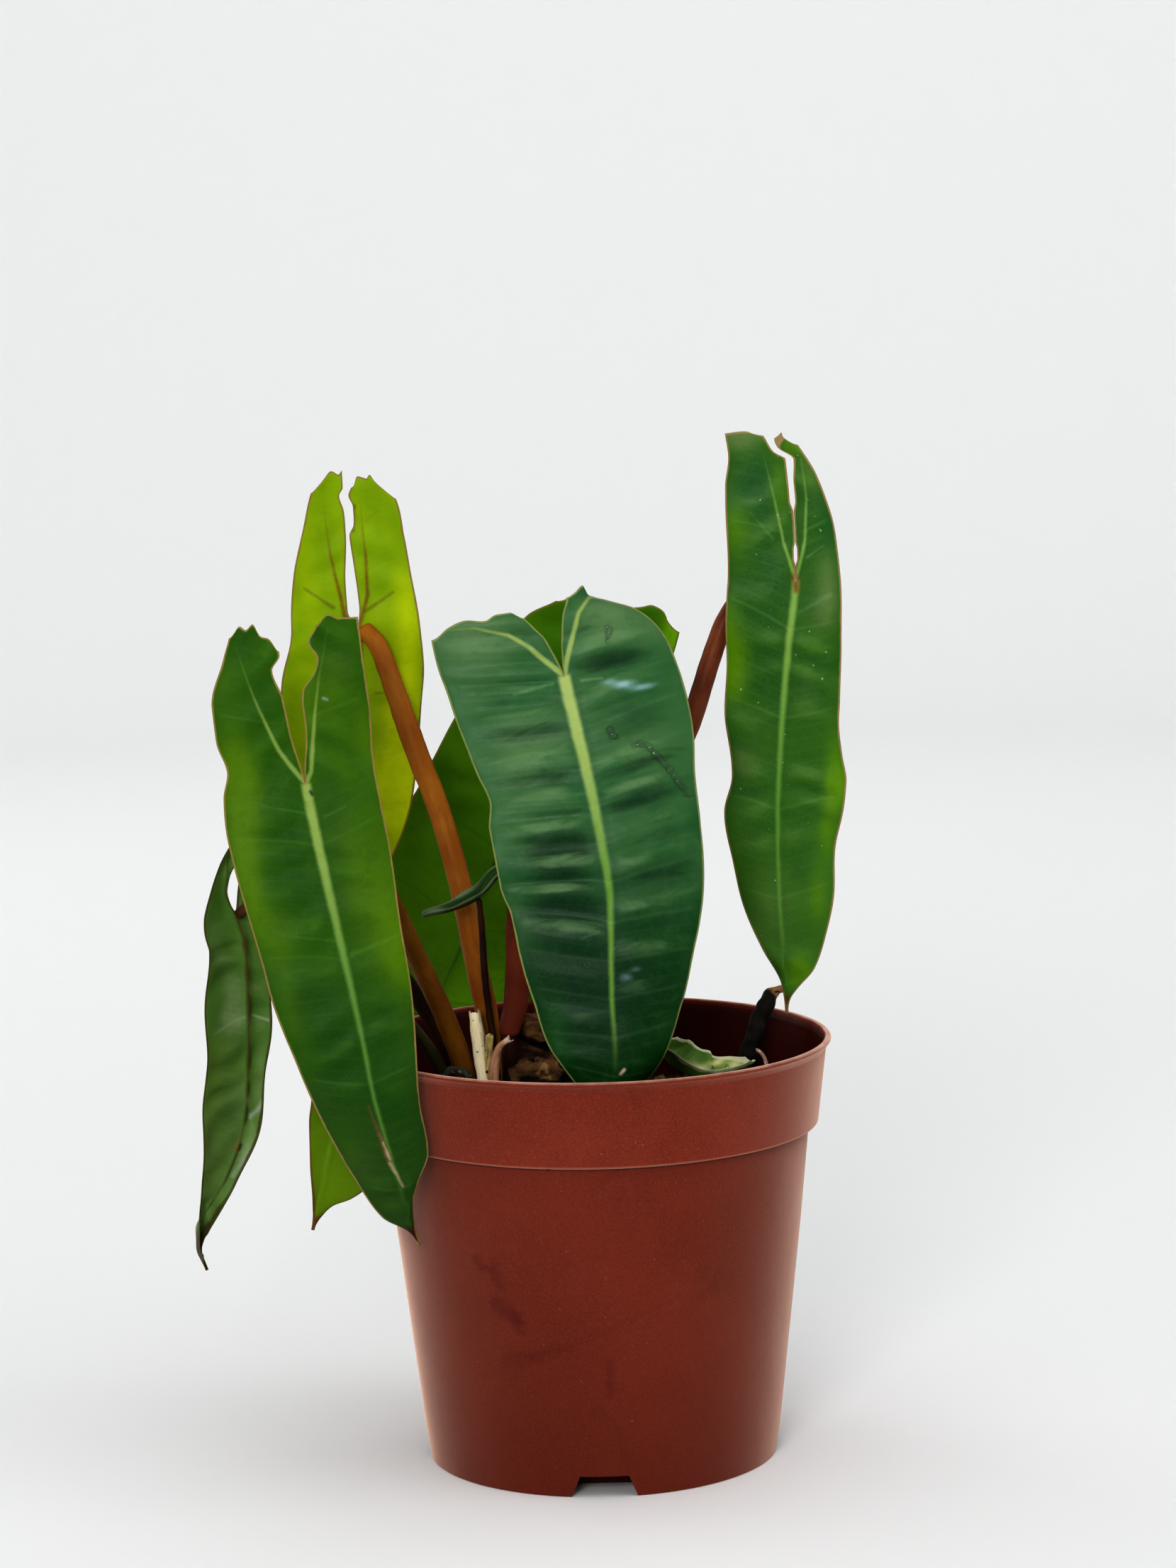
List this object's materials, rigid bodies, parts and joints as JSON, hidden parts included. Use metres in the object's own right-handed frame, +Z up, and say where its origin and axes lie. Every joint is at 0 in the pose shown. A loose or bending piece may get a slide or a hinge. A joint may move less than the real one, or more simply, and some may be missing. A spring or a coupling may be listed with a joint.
{
  "type": "potted philodendron billietiae",
  "caption": "Young potted philodendron with long ruffled arrow-shaped leaves on arching brown petioles, in a plain terracotta-coloured nursery pot with a collared rim.",
  "frame": {"origin": "centre of the pot's flat underside, on the surface that it stands on", "axes": "+Z up along the pot's axis, -Y towards the viewer of the picture, +X to the viewer's right"},
  "size_m": [0.1721, 0.1254, 0.2631],
  "materials": {
    "pot_plastic": "satin",
    "potting_soil": "matte",
    "crown_wood": "matte",
    "leaf_green": "satin",
    "leaf_blue_green": "satin",
    "leaf_grey_green": "satin",
    "leaf_yellow_green": "satin",
    "leaf_bright_green": "satin",
    "leaf_pale_green": "satin",
    "petiole_brown": "satin",
    "petiole_orange": "satin",
    "petiole_olive": "satin",
    "dry_sheath": "matte",
    "dry_brown": "matte",
    "root": "matte",
    "water": "polished"
  },
  "bodies": {
    "root": {"pot": "pot_plastic", "potting_soil": "potting_soil", "crown_wood": "crown_wood", "leaf_front_left": "leaf_green", "leaf_back_left": "leaf_yellow_green", "leaf_far_left": "leaf_grey_green", "leaf_low_left": "leaf_bright_green", "leaf_centre_front": "leaf_blue_green", "leaf_right": "leaf_green", "leaf_centre_back": "leaf_green", "leaf_small": "leaf_grey_green", "leaf_curled": "leaf_pale_green", "petiole_front_left": "petiole_brown", "petiole_back_left": "petiole_orange", "petiole_far_left": "petiole_brown", "petiole_low_left": "petiole_olive", "petiole_centre_front": "petiole_brown", "petiole_right": "petiole_brown", "petiole_centre_back": "petiole_brown", "petiole_small": "petiole_brown", "petiole_curled": "petiole_brown", "petiole_cut_stub": "dry_brown", "sheath_cream_tall": "dry_sheath", "sheath_cream_short": "dry_sheath", "sheath_pink": "dry_sheath", "root_front": "root", "root_right": "root"}
  },
  "joints": []
}
